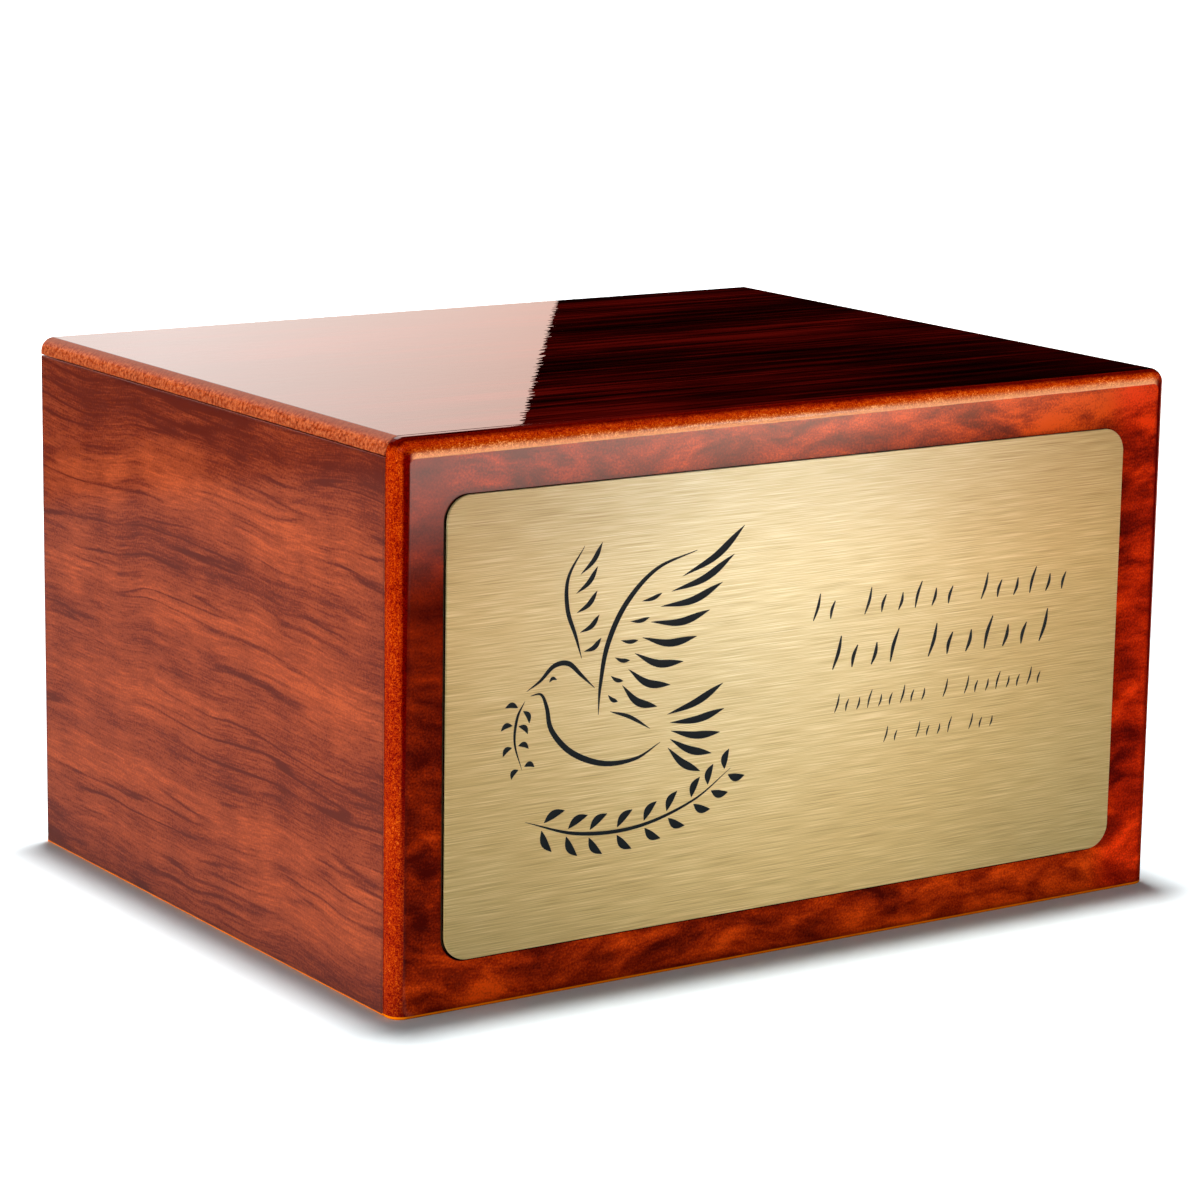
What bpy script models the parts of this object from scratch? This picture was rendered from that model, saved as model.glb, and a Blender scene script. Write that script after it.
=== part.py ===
"""A box urn for ashes: fibreboard under a cherry-grain film, with a brushed name plate on its front.

The front board laps the front ends of the top and side boards, and the top board laps the upper ends of
the side boards, so the rounded edges show bare stained board. The ashes go in from beneath, where a base
board sits in rebates of the walls and four countersunk screws hold it.

Metres, +Z up. The box stands on Z = 0, its front faces -Y, and X = Y = 0 is the middle of its overall box.
"""

import math

import bmesh
import bpy
from mathutils import Matrix, Vector

# Overall size of the boards; the name plate stands proud of the front
WIDTH = 0.222
BODY_DEPTH = 0.176
HEIGHT = 0.132

# Thicknesses and laps of the boards
WALL = 0.012
BASE_THICKNESS = 0.009
BASE_RECESS = 0.001
FRONT_LAP = 0.0047
TOP_LAP = 0.0042
BASE_LAP = 0.004
CLEARANCE = 0.0003

# Edges of the boards
EDGE_RADIUS = 0.0035
EDGE_STEPS = 8
FLAT_UNDER_EDGE = 0.0004
ARRIS = 0.0005
ARRIS_STEPS = 2
SEAM_EASING = 0.0003
EASING_STEPS = 1
SMOOTH_BELOW_DEGREES = 30

# Screws of the base board
SCREW_EDGE_DISTANCE = 0.0045
SCREW_END_DISTANCE = 0.022
SCREW_LENGTH = 0.016
SCREW_RADIUS = 0.00125
SCREW_HEAD_RADIUS = 0.0025
SCREW_HEAD_HEIGHT = 0.0016
SCREW_HEAD_RIM = 0.0002
SCREW_TIP_RADIUS = 0.0003
SCREW_TIP_HEIGHT = 0.002
SCREW_SINK = 0.0002
SCREW_STEPS = 24
SLOT_WIDTH = 0.0005
SLOT_LENGTH = 0.0028
SLOT_DEPTH = 0.0008

# Name plate
PLATE_WIDTH = 0.195
PLATE_HEIGHT = 0.1065
PLATE_THICKNESS = 0.0006
PLATE_RADIUS = 0.006
PLATE_CORNER_STEPS = 8
PLATE_CHAMFER = 0.00012
PLATE_SHIFT_X = -0.001
PLATE_CENTRE_Z = 0.0653

# Engraving, as shallow strokes that swell and narrow to both ends
ENGRAVING_DEPTH = 0.00015
SHORT_STROKE_STEPS = 4
LONG_STROKE_STEPS = 12
STEM_STEPS = 60
SHARP_TIP = 0.05
PEN_TIP = 0.1
BLUNT_TIP = 0.3
MIDDLE_PEAK = 0.5
FEATHER_PEAK = 0.62
LEAF_PEAK = 0.48
LEAF_BOW = 0.9
LAST_LEAF = 0.8

# Rows of slanted strokes: the start and end of each as shares of the plate's width, its base line and the
# height of its tall strokes as shares of the plate's height, and how many strokes stand in each group
ROWS = (
    (0.518, 0.933, 0.637, 0.060, (2, 6, 6)),
    (0.549, 0.903, 0.520, 0.075, (4, 7)),
    (0.554, 0.890, 0.421, 0.041, (9, 1, 8)),
    (0.631, 0.815, 0.336, 0.036, (2, 4, 3)),
)
STROKE_SLANT = 0.3
STROKE_WIDTH = 0.13
STROKE_BOW = 0.05
LOW_STROKE = 0.66
TALL_EVERY = 3

# Motif: its centre as shares of the plate's width and height, and its height
MOTIF_CENTRE = (0.256, 0.530)
MOTIF_HEIGHT = min(0.676 * PLATE_HEIGHT, 0.37 * PLATE_WIDTH)

# The motif's lines, in hundredths of its height about its centre
CROWN = ((-40, 5.2), (-35, 8), (-30, 12.2), (-24.5, 12.4), (-19.5, 8), (-14.5, 3.4))
THROAT = ((-38.6, 3.6), (-34.6, 3.6), (-32.4, -1), (-30.5, -8.5))
BELLY = ((-23, -16.5), (-11, -21.6), (1.5, -21.6), (11, -17.4))
EYE = ((-31.6, 7.2), (-30.4, 8.3), (-28.8, 7.7))
RUMP = ((-8.5, -5), (-1, -7.6), (7, -12.4))
WING_EDGE = ((-13, -5.5), (-12.4, 4), (-9.8, 17), (-3, 29.5), (8.5, 39.5), (24, 44))
FAR_WING_EDGE = ((-19.6, 13.5), (-22, 21), (-25.2, 30), (-25, 40), (-19, 49.5))
FLIGHT_ROOTS = ((-4, 3), (1.5, 14.5), (9, 25.5), (18.5, 36))
COVERT_ROOTS = ((-9.4, 0.5), (-7.6, 10.5), (-3.8, 19.5), (3, 29.5))
FAR_ROOTS = ((-18.8, 15.6), (-20.8, 24), (-22.2, 32.5), (-20.4, 40.5))
TAIL_ROOTS = ((14, -19.6), (15, -16), (15, -12.4), (13.6, -8.6))
SPRIG = ((-40.6, 2.2), (-43.4, -3), (-44.2, -11), (-41.4, -20))
BRANCH = ((-40, -37), (-20, -43.4), (2.5, -44.2), (24, -38.5), (39, -29.5))

# How far a cutter reaches past what it cuts, how near turned points are joined, and how nearly parallel two
# directions are the same
OVERCUT = 0.002
MERGE_DISTANCE = 0.00001
SAME_WAY = 0.999

PLATE_PROUD = CLEARANCE + PLATE_THICKNESS
FRONT_Y = PLATE_PROUD - (BODY_DEPTH + PLATE_PROUD) / 2
BACK_Y = FRONT_Y + BODY_DEPTH
SEAM_Y = FRONT_Y + FRONT_LAP + CLEARANCE
BASE_TOP = BASE_RECESS + BASE_THICKNESS
HALF_WIDTH = WIDTH / 2

PARTS = "cremation_urn_box"
CUTTERS = "cutters"


def clear_scene():
    for obj in list(bpy.data.objects):
        bpy.data.objects.remove(obj)
    for name in (PARTS, CUTTERS):
        collection = bpy.data.collections.new(name)
        bpy.context.scene.collection.children.link(collection)
    bpy.data.collections[CUTTERS].hide_render = True


def finish(name, colour, roughness, metallic=0.0):
    """A material named for the piece that wears it."""
    material = bpy.data.materials.new(name)
    material.use_nodes = True
    shader = material.node_tree.nodes["Principled BSDF"]
    shader.inputs["Base Color"].default_value = (*colour, 1.0)
    shader.inputs["Roughness"].default_value = roughness
    shader.inputs["Metallic"].default_value = metallic
    material.diffuse_color = (*colour, 1.0)
    return material


def add_object(name, bm, centre, collection):
    mesh = bpy.data.meshes.new(name)
    bmesh.ops.recalc_face_normals(bm, faces=bm.faces)
    bm.to_mesh(mesh)
    bm.free()
    obj = bpy.data.objects.new(name, mesh)
    obj.location = centre
    bpy.data.collections[collection].objects.link(obj)
    return obj


def box_mesh(low, high):
    """A box centred on the origin, and the centre that it is to be placed at."""
    low = Vector(low)
    high = Vector(high)
    bm = bmesh.new()
    bmesh.ops.create_cube(bm, size=1.0, matrix=Matrix.Diagonal((*(high - low), 1.0)))
    return bm, (low + high) / 2


def edges_between(bm, *pairs):
    """The edges where the flat faces that look along the two directions of a pair meet."""
    found = []
    for edge in bm.edges:
        normals = [face.normal for face in edge.link_faces]
        for pair in pairs:
            if all(any(normal.dot(Vector(way)) > SAME_WAY for normal in normals) for way in pair):
                found.append(edge)
    return found


def rim(bm, way):
    """The edges around the flat face that looks along one direction."""
    faces = [face for face in bm.faces if face.normal.dot(Vector(way)) > SAME_WAY]
    return list({edge for face in faces for edge in face.edges})


def round_off(bm, edges, radius, steps):
    round_profile = 0.5
    bmesh.ops.bevel(bm, geom=edges, offset=radius, segments=steps, profile=round_profile, affect="EDGES")
    bm.normal_update()


def smooth_rounds(obj):
    obj.data.shade_smooth()
    obj.data.set_sharp_from_angle(angle=math.radians(SMOOTH_BELOW_DEGREES))


def cut(obj, cutter):
    modifier = obj.modifiers.new(cutter.name, "BOOLEAN")
    modifier.operation = "DIFFERENCE"
    modifier.solver = "EXACT"
    modifier.object = cutter


def join(obj, other):
    modifier = obj.modifiers.new(other.name, "BOOLEAN")
    modifier.operation = "UNION"
    modifier.solver = "EXACT"
    modifier.object = other


def make_cutter(name, bm, centre=(0.0, 0.0, 0.0)):
    obj = add_object(name, bm, centre, CUTTERS)
    obj.hide_render = True
    obj.display_type = "WIRE"
    return obj


def rebate(obj, name, low, high):
    """Cuts the space between two corners out of a board."""
    cut(obj, make_cutter(name, *box_mesh(low, high)))


def outward(side):
    return (side, 0.0, 0.0)


UP = (0.0, 0.0, 1.0)
DOWN = (0.0, 0.0, -1.0)
FORWARD = (0.0, -1.0, 0.0)
BACKWARD = (0.0, 1.0, 0.0)


def place(name, bm, centre, material):
    obj = add_object(name, bm, centre, PARTS)
    obj.data.materials.append(material)
    smooth_rounds(obj)
    return obj


def make_top(material):
    """The top board, with its sides rounded and rebated to lap the side boards."""
    bm, centre = box_mesh((-HALF_WIDTH, SEAM_Y, HEIGHT - WALL), (HALF_WIDTH, BACK_Y, HEIGHT))
    radius = min(EDGE_RADIUS, TOP_LAP - FLAT_UNDER_EDGE)
    round_off(bm, edges_between(bm, (UP, outward(-1)), (UP, outward(1))), radius, EDGE_STEPS)
    round_off(bm, rim(bm, BACKWARD), ARRIS, ARRIS_STEPS)
    round_off(bm, rim(bm, FORWARD), SEAM_EASING, EASING_STEPS)
    top = place("top_panel", bm, centre, material)
    inner = HALF_WIDTH - WALL - CLEARANCE
    for side in (-1, 1):
        ends = sorted((side * inner, side * (HALF_WIDTH + OVERCUT)))
        low = (ends[0], SEAM_Y - OVERCUT, HEIGHT - WALL - OVERCUT)
        high = (ends[1], BACK_Y + OVERCUT, HEIGHT - TOP_LAP)
        rebate(top, f"top_rebate_{'left' if side < 0 else 'right'}", low, high)


def make_side(name, side, material, screw_holes):
    """A side board, rebated at its inner lower edge for the base board."""
    ends = sorted((side * (HALF_WIDTH - WALL), side * HALF_WIDTH))
    bm, centre = box_mesh((ends[0], SEAM_Y, 0.0), (ends[1], BACK_Y, HEIGHT - TOP_LAP - CLEARANCE))
    round_off(bm, rim(bm, BACKWARD), ARRIS, ARRIS_STEPS)
    round_off(bm, edges_between(bm, (DOWN, outward(side))), ARRIS, ARRIS_STEPS)
    round_off(bm, edges_between(bm, (UP, outward(side))), SEAM_EASING, EASING_STEPS)
    round_off(bm, edges_between(bm, (FORWARD, outward(side))), SEAM_EASING, EASING_STEPS)
    board = place(name, bm, centre, material)
    ends = sorted((side * (HALF_WIDTH - WALL - OVERCUT), side * (HALF_WIDTH - BASE_LAP)))
    low = (ends[0], SEAM_Y - OVERCUT, -OVERCUT)
    high = (ends[1], BACK_Y - BASE_LAP, BASE_TOP + CLEARANCE)
    rebate(board, f"{name}_base_rebate", low, high)
    for hole in screw_holes:
        cut(board, hole)


def make_front(material):
    """The front board: its rounded edge laps the other boards, and its thicker middle stands between them."""
    lap_y = FRONT_Y + FRONT_LAP
    bm, centre = box_mesh((-HALF_WIDTH, FRONT_Y, 0.0), (HALF_WIDTH, lap_y, HEIGHT))
    radius = min(EDGE_RADIUS, FRONT_LAP - FLAT_UNDER_EDGE)
    rounded = edges_between(
        bm,
        (FORWARD, UP),
        (FORWARD, outward(-1)),
        (FORWARD, outward(1)),
        (UP, outward(-1)),
        (UP, outward(1)),
    )
    round_off(bm, rounded, radius, EDGE_STEPS)
    round_off(bm, rim(bm, DOWN), ARRIS, ARRIS_STEPS)
    front = place("front_panel", bm, centre, material)
    inner = HALF_WIDTH - WALL - CLEARANCE
    low = (-inner, FRONT_Y + FRONT_LAP / 2, BASE_TOP + CLEARANCE)
    high = (inner, FRONT_Y + WALL, HEIGHT - WALL - CLEARANCE)
    join(front, make_cutter("front_middle", *box_mesh(low, high)))


def make_back(material):
    """The back board stands between the side boards, flush with their ends."""
    inner = HALF_WIDTH - WALL - CLEARANCE
    bm, centre = box_mesh((-inner, BACK_Y - WALL, 0.0), (inner, BACK_Y, HEIGHT - WALL - CLEARANCE))
    round_off(bm, rim(bm, BACKWARD), SEAM_EASING, EASING_STEPS)
    back = place("back_panel", bm, centre, material)
    low = (-inner - OVERCUT, BACK_Y - WALL - OVERCUT, -OVERCUT)
    high = (inner + OVERCUT, BACK_Y - BASE_LAP, BASE_TOP + CLEARANCE)
    rebate(back, "back_base_rebate", low, high)


def base_corners():
    """The lowest and highest corner of the base board."""
    half = HALF_WIDTH - BASE_LAP - CLEARANCE
    return (-half, SEAM_Y, BASE_RECESS), (half, BACK_Y - BASE_LAP - CLEARANCE, BASE_TOP)


def make_base(material, screw_holes):
    bm, centre = box_mesh(*base_corners())
    round_off(bm, rim(bm, DOWN), SEAM_EASING, EASING_STEPS)
    base = place("base_panel", bm, centre, material)
    for hole in screw_holes:
        cut(base, hole)


def screw_places():
    """(name, centre of the head's face) of each screw."""
    low, high = base_corners()
    for row, y in (("front", low[1] + SCREW_END_DISTANCE), ("back", high[1] - SCREW_END_DISTANCE)):
        for column, x in (("left", low[0] + SCREW_EDGE_DISTANCE), ("right", high[0] - SCREW_EDGE_DISTANCE)):
            yield f"{row}_{column}", (x, y, BASE_RECESS + SCREW_SINK)


def turned(name, profile, centre, collection):
    """A turned solid from (radius, height) points that run down its outer side."""
    bm = bmesh.new()
    points = [bm.verts.new((radius, 0.0, height)) for radius, height in profile]
    for start, end in zip(points, points[1:]):
        bm.edges.new((start, end))
    obj = add_object(name, bm, centre, collection)
    screw = obj.modifiers.new("turn", "SCREW")
    screw.axis = "Z"
    screw.steps = SCREW_STEPS
    screw.render_steps = SCREW_STEPS
    screw.use_merge_vertices = True
    screw.merge_threshold = MERGE_DISTANCE
    return obj


def make_screw(name, centre, material):
    profile = (
        (0.0, SCREW_LENGTH),
        (SCREW_TIP_RADIUS, SCREW_LENGTH),
        (SCREW_RADIUS, SCREW_LENGTH - SCREW_TIP_HEIGHT),
        (SCREW_RADIUS, SCREW_HEAD_HEIGHT),
        (SCREW_HEAD_RADIUS, SCREW_HEAD_RIM),
        (SCREW_HEAD_RADIUS, 0.0),
        (0.0, 0.0),
    )
    screw = turned(name, profile, centre, PARTS)
    screw.data.materials.append(material)
    smooth_rounds(screw)
    for index, (length_x, length_y) in enumerate(((SLOT_LENGTH, SLOT_WIDTH), (SLOT_WIDTH, SLOT_LENGTH))):
        low = Vector(centre) - Vector((length_x / 2, length_y / 2, OVERCUT))
        high = Vector(centre) + Vector((length_x / 2, length_y / 2, SLOT_DEPTH))
        rebate(screw, f"{name}_slot_{index}", low, high)


def make_screw_hole(name, centre):
    """The countersunk hole for a screw, as its own outline grown by the clearance."""
    profile = (
        (0.0, SCREW_LENGTH + CLEARANCE),
        (SCREW_RADIUS + CLEARANCE, SCREW_LENGTH + CLEARANCE),
        (SCREW_RADIUS + CLEARANCE, SCREW_HEAD_HEIGHT + CLEARANCE),
        (SCREW_HEAD_RADIUS + CLEARANCE, SCREW_HEAD_RIM + CLEARANCE),
        (SCREW_HEAD_RADIUS + CLEARANCE, -OVERCUT),
        (0.0, -OVERCUT),
    )
    hole = turned(name, profile, centre, CUTTERS)
    hole.hide_render = True
    hole.display_type = "WIRE"
    return hole


def mix(start, end, share):
    return start + (end - start) * share


def heading(degrees):
    return Vector((math.cos(math.radians(degrees)), math.sin(math.radians(degrees))))


def smooth_curve(points, steps):
    """Points along a smooth curve through the given ones."""
    points = [Vector(point) for point in points]
    points = [2 * points[0] - points[1], *points, 2 * points[-1] - points[-2]]
    spans = len(points) - 3
    curve = []
    for step in range(steps + 1):
        span = min(spans * step // steps, spans - 1)
        t = spans * step / steps - span
        a, b, c, d = points[span : span + 4]
        bend = (2 * a - 5 * b + 4 * c - d) * t**2 + (3 * b - a - 3 * c + d) * t**3
        curve.append(b + (c - a) * t / 2 + bend / 2)
    return curve


def stroke(points, width, peak, steps, tip):
    """The outline of a stroke along a curve, widest at its peak and narrow at its tips."""
    curve = smooth_curve(points, steps)
    left = []
    right = []
    for index, point in enumerate(curve):
        way = curve[min(index + 1, steps)] - curve[max(index - 1, 0)]
        share = index / steps
        rise = share / peak if share < peak else (1 - share) / (1 - peak)
        half_width = width / 2 * mix(tip, 1.0, math.sin(rise * math.pi / 2))
        across = Vector((-way.y, way.x)).normalized() * half_width
        left.append(point + across)
        right.append(point - across)
    return left + right[::-1]


def feather(root, degrees, length, width, bow, peak):
    """A short stroke from its root, bowed to its right."""
    way = heading(degrees)
    middle = root + way * length / 2 + Vector((way.y, -way.x)) * bow
    return stroke((root, middle, root + way * length), width, peak, SHORT_STROKE_STEPS, SHARP_TIP)


def fan(count, roots, degrees, lengths, width, bow):
    """Feathers with their roots along a curve, turning and growing from the first to the last."""
    for index, root in enumerate(smooth_curve(roots, count - 1)):
        share = index / (count - 1)
        yield feather(root, mix(*degrees, share), mix(*lengths, share), width, bow, FEATHER_PEAK)


def leaves(stem, pairs, start, end, length, width, spread, gap):
    """Pairs of leaves between two shares of a stem's length, each with a gap to it."""
    curve = smooth_curve(stem, STEM_STEPS)
    for index in range(pairs):
        share = index / (pairs - 1)
        place = round(STEM_STEPS * mix(start, end, share))
        size = length * mix(1.0, LAST_LEAF, share)
        way = curve[place + 1] - curve[place - 1]
        for side in (-1, 1):
            degrees = math.degrees(math.atan2(way.y, way.x)) + side * spread
            root = curve[place] + heading(degrees) * gap
            yield feather(root, degrees, size, width, -LEAF_BOW * side, LEAF_PEAK)


def motif_strokes():
    """A dove with a sprig over an olive branch, in the motif's own units."""
    yield stroke(CROWN, 1.7, 0.55, LONG_STROKE_STEPS, PEN_TIP)
    yield stroke(THROAT + BELLY, 2.0, 0.6, LONG_STROKE_STEPS, PEN_TIP)
    yield stroke(EYE, 1.2, MIDDLE_PEAK, SHORT_STROKE_STEPS, PEN_TIP)
    yield stroke(RUMP, 1.3, MIDDLE_PEAK, SHORT_STROKE_STEPS, PEN_TIP)
    yield stroke(WING_EDGE, 2.0, MIDDLE_PEAK, LONG_STROKE_STEPS, PEN_TIP)
    yield stroke(FAR_WING_EDGE, 1.6, MIDDLE_PEAK, LONG_STROKE_STEPS, PEN_TIP)
    yield from fan(8, FLIGHT_ROOTS, (-32, 31), (16, 28), width=2.6, bow=2.0)
    yield from fan(6, COVERT_ROOTS, (-34, 14), (4.6, 8), width=1.4, bow=0.5)
    yield from fan(5, FAR_ROOTS, (30, 50), (7.5, 12.5), width=1.8, bow=1.1)
    yield from fan(5, TAIL_ROOTS, (-36, 20), (16, 23), width=2.6, bow=1.2)
    yield stroke(SPRIG, 1.0, 0.4, LONG_STROKE_STEPS, PEN_TIP)
    yield from leaves(SPRIG, 4, 0.14, 0.95, length=4.8, width=1.8, spread=62, gap=1.3)
    yield stroke(BRANCH, 1.3, 0.35, LONG_STROKE_STEPS, PEN_TIP)
    yield from leaves(BRANCH, 9, 0.07, 0.95, length=8.4, width=2.7, spread=42, gap=1.9)


def row_strokes(start, end, height, groups):
    """The slanted strokes of a row, from its base line up."""
    places = sum(groups) + len(groups) - 1
    pitch = (end - start) / places
    place = 0
    for group in groups:
        for index in range(group):
            tall = height if index % TALL_EVERY == 0 else height * LOW_STROKE
            foot = Vector((start + place * pitch, 0.0))
            head = foot + Vector((STROKE_SLANT * tall, tall))
            bow = Vector((STROKE_BOW * height * (-1) ** index, 0.0))
            middle = foot.lerp(head, 0.5) + bow
            width = STROKE_WIDTH * height
            yield stroke((foot, middle, head), width, MIDDLE_PEAK, SHORT_STROKE_STEPS, BLUNT_TIP)
            place += 1
        place += 1


def engraved_outlines():
    """Every stroke's outline, measured along the plate's face from its lower left corner."""
    centre = Vector((MOTIF_CENTRE[0] * PLATE_WIDTH, MOTIF_CENTRE[1] * PLATE_HEIGHT))
    for outline in motif_strokes():
        yield [centre + point * MOTIF_HEIGHT / 100 for point in outline]
    for start, end, base, height, groups in ROWS:
        lift = Vector((0.0, base * PLATE_HEIGHT))
        for outline in row_strokes(start * PLATE_WIDTH, end * PLATE_WIDTH, height * PLATE_HEIGHT, groups):
            yield [lift + point for point in outline]


def make_engraving():
    """One cutter with a shallow prism for every stroke."""
    left, front, bottom = plate_corners()[0]
    bm = bmesh.new()
    for outline in engraved_outlines():
        floor = [bm.verts.new((left + x, front + ENGRAVING_DEPTH, bottom + z)) for x, z in outline]
        grown = bmesh.ops.extrude_face_region(bm, geom=[bm.faces.new(floor)])
        raised = [item for item in grown["geom"] if isinstance(item, bmesh.types.BMVert)]
        bmesh.ops.translate(bm, verts=raised, vec=(0.0, -ENGRAVING_DEPTH - OVERCUT, 0.0))
    return make_cutter("engraving", bm)


def plate_corners():
    """The lowest and highest corner of the name plate."""
    low = (PLATE_SHIFT_X - PLATE_WIDTH / 2, FRONT_Y - PLATE_PROUD, PLATE_CENTRE_Z - PLATE_HEIGHT / 2)
    high = (PLATE_SHIFT_X + PLATE_WIDTH / 2, FRONT_Y - CLEARANCE, PLATE_CENTRE_Z + PLATE_HEIGHT / 2)
    return low, high


def make_plate(material):
    bm, centre = box_mesh(*plate_corners())
    corners = [(up_down, outward(side)) for up_down in (UP, DOWN) for side in (-1, 1)]
    round_off(bm, edges_between(bm, *corners), PLATE_RADIUS, PLATE_CORNER_STEPS)
    round_off(bm, rim(bm, FORWARD), PLATE_CHAMFER, EASING_STEPS)
    plate = place("name_plate", bm, centre, material)
    cut(plate, make_engraving())


def build():
    clear_scene()
    holes = {name: make_screw_hole(f"hole_{name}", centre) for name, centre in screw_places()}
    make_top(finish("top_panel", (0.16, 0.012, 0.006), 0.08))
    for name, side, end in (("left_side", -1, "left"), ("right_side", 1, "right")):
        side_holes = [hole for place_name, hole in holes.items() if place_name.endswith(end)]
        make_side(name, side, finish(name, (0.32, 0.035, 0.012), 0.15), side_holes)
    make_front(finish("front_panel", (0.33, 0.025, 0.008), 0.15))
    make_back(finish("back_panel", (0.28, 0.03, 0.012), 0.2))
    make_base(finish("base_panel", (0.24, 0.12, 0.06), 0.6), list(holes.values()))
    for name, centre in screw_places():
        make_screw(f"base_screw_{name}", centre, finish(f"base_screw_{name}", (0.55, 0.5, 0.4), 0.35, 1.0))
    make_plate(finish("name_plate", (0.62, 0.5, 0.26), 0.3, 1.0))


build()
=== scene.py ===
"""The looks of the box urn: cherry-grain film under lacquer, stained edges and a brushed name plate.

Metres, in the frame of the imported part: +Z up, and the front with the plate faces -Y. Each visible board is
modelled again with finer rounds on the same sizes, and the base board and its screws keep their own solids.
"""

import math

import bmesh
import bpy
from mathutils import Matrix, Vector


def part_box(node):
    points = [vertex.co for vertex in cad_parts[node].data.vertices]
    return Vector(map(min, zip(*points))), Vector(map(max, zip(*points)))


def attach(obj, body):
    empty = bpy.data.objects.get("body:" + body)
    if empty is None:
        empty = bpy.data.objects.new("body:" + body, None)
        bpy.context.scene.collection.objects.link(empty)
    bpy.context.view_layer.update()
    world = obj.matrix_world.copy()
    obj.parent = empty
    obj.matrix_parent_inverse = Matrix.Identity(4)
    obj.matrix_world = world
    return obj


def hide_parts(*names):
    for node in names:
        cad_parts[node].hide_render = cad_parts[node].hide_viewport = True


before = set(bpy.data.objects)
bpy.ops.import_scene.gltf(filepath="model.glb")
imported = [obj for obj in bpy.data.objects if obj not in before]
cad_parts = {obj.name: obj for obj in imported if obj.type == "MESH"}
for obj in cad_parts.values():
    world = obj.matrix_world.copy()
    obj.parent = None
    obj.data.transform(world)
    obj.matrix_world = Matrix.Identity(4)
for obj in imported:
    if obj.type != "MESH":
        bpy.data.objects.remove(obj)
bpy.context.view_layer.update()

MM = 0.001

# Boards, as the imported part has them
TOP_LOW, TOP_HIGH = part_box("top_panel")
SIDE_LOW, SIDE_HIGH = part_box("right_side")
FRONT_LOW, FRONT_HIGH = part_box("front_panel")
BACK_LOW, BACK_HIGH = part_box("back_panel")
_, BASE_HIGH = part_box("base_panel")
PLATE_LOW, PLATE_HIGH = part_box("name_plate")

HALF_WIDTH = TOP_HIGH.x
HEIGHT = TOP_HIGH.z
FRONT_Y = FRONT_LOW.y
BACK_Y = TOP_HIGH.y
SEAM_Y = TOP_LOW.y
TOP_UNDERSIDE = TOP_LOW.z
INNER_X = SIDE_LOW.x
SEAM_Z = SIDE_HIGH.z
CLEARANCE = INNER_X - BACK_HIGH.x
FRONT_LAP = SEAM_Y - FRONT_Y - CLEARANCE
BASE_LAP_X = HALF_WIDTH - BASE_HIGH.x - CLEARANCE
BASE_LAP_Y = BACK_Y - BASE_HIGH.y - CLEARANCE
BASE_ROOM = BASE_HIGH.z + CLEARANCE

# Rounds of the edges
RIM = 0.7 * MM
SIDE_RIM = 0.5 * MM
EDGE_RADIUS = 3.5 * MM
EDGE_STEPS = 24
ARRIS = 0.5 * MM
ARRIS_STEPS = 4
SEAM_EASING = 0.3 * MM
EASING_STEPS = 3
OVERCUT = 2 * MM

# Plate
PLATE_RADIUS = 6 * MM
PLATE_CORNER_STEPS = 24
PLATE_CHAMFER = 0.12 * MM
ENGRAVING_DEPTH = 0.15 * MM
SHORT_STROKE_STEPS = 14
LONG_STROKE_STEPS = 40
STEM_STEPS = 60
SHARP_TIP = 0.05
PEN_TIP = 0.1
BLUNT_TIP = 0.3
MIDDLE_PEAK = 0.5
FEATHER_PEAK = 0.62
LEAF_PEAK = 0.48
LEAF_BOW = 0.9
LAST_LEAF = 0.8

# Rows of strokes in place of an inscription: start and end as shares of the plate's width, base line and
# height as shares of its height, and the strokes in each group
ROWS = (
    (0.518, 0.933, 0.637, 0.060, (2, 6, 6)),
    (0.549, 0.903, 0.520, 0.075, (4, 7)),
    (0.554, 0.890, 0.421, 0.041, (9, 1, 8)),
    (0.631, 0.815, 0.336, 0.036, (2, 4, 3)),
)
STROKE_SLANT = 0.3
STROKE_WIDTH = 0.13
STROKE_BOW = 0.05
LOW_STROKE = 0.66
TALL_EVERY = 3

# The motif: its centre as shares of the plate, and its curves in hundredths of its height
MOTIF_CENTRE = (0.256, 0.530)
MOTIF_HEIGHT = min(0.676 * (PLATE_HIGH.z - PLATE_LOW.z), 0.37 * (PLATE_HIGH.x - PLATE_LOW.x))
CROWN = ((-40, 5.2), (-35, 8), (-30, 12.2), (-24.5, 12.4), (-19.5, 8), (-14.5, 3.4))
THROAT = ((-38.6, 3.6), (-34.6, 3.6), (-32.4, -1), (-30.5, -8.5))
BELLY = ((-23, -16.5), (-11, -21.6), (1.5, -21.6), (11, -17.4))
EYE = ((-31.6, 7.2), (-30.4, 8.3), (-28.8, 7.7))
RUMP = ((-8.5, -5), (-1, -7.6), (7, -12.4))
WING_EDGE = ((-13, -5.5), (-12.4, 4), (-9.8, 17), (-3, 29.5), (8.5, 39.5), (24, 44))
FAR_WING_EDGE = ((-19.6, 13.5), (-22, 21), (-25.2, 30), (-25, 40), (-19, 49.5))
FLIGHT_ROOTS = ((-4, 3), (1.5, 14.5), (9, 25.5), (18.5, 36))
COVERT_ROOTS = ((-9.4, 0.5), (-7.6, 10.5), (-3.8, 19.5), (3, 29.5))
FAR_ROOTS = ((-18.8, 15.6), (-20.8, 24), (-22.2, 32.5), (-20.4, 40.5))
TAIL_ROOTS = ((14, -19.6), (15, -16), (15, -12.4), (13.6, -8.6))
SPRIG = ((-40.6, 2.2), (-43.4, -3), (-44.2, -11), (-41.4, -20))
BRANCH = ((-40, -37), (-20, -43.4), (2.5, -44.2), (24, -38.5), (39, -29.5))

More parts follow.
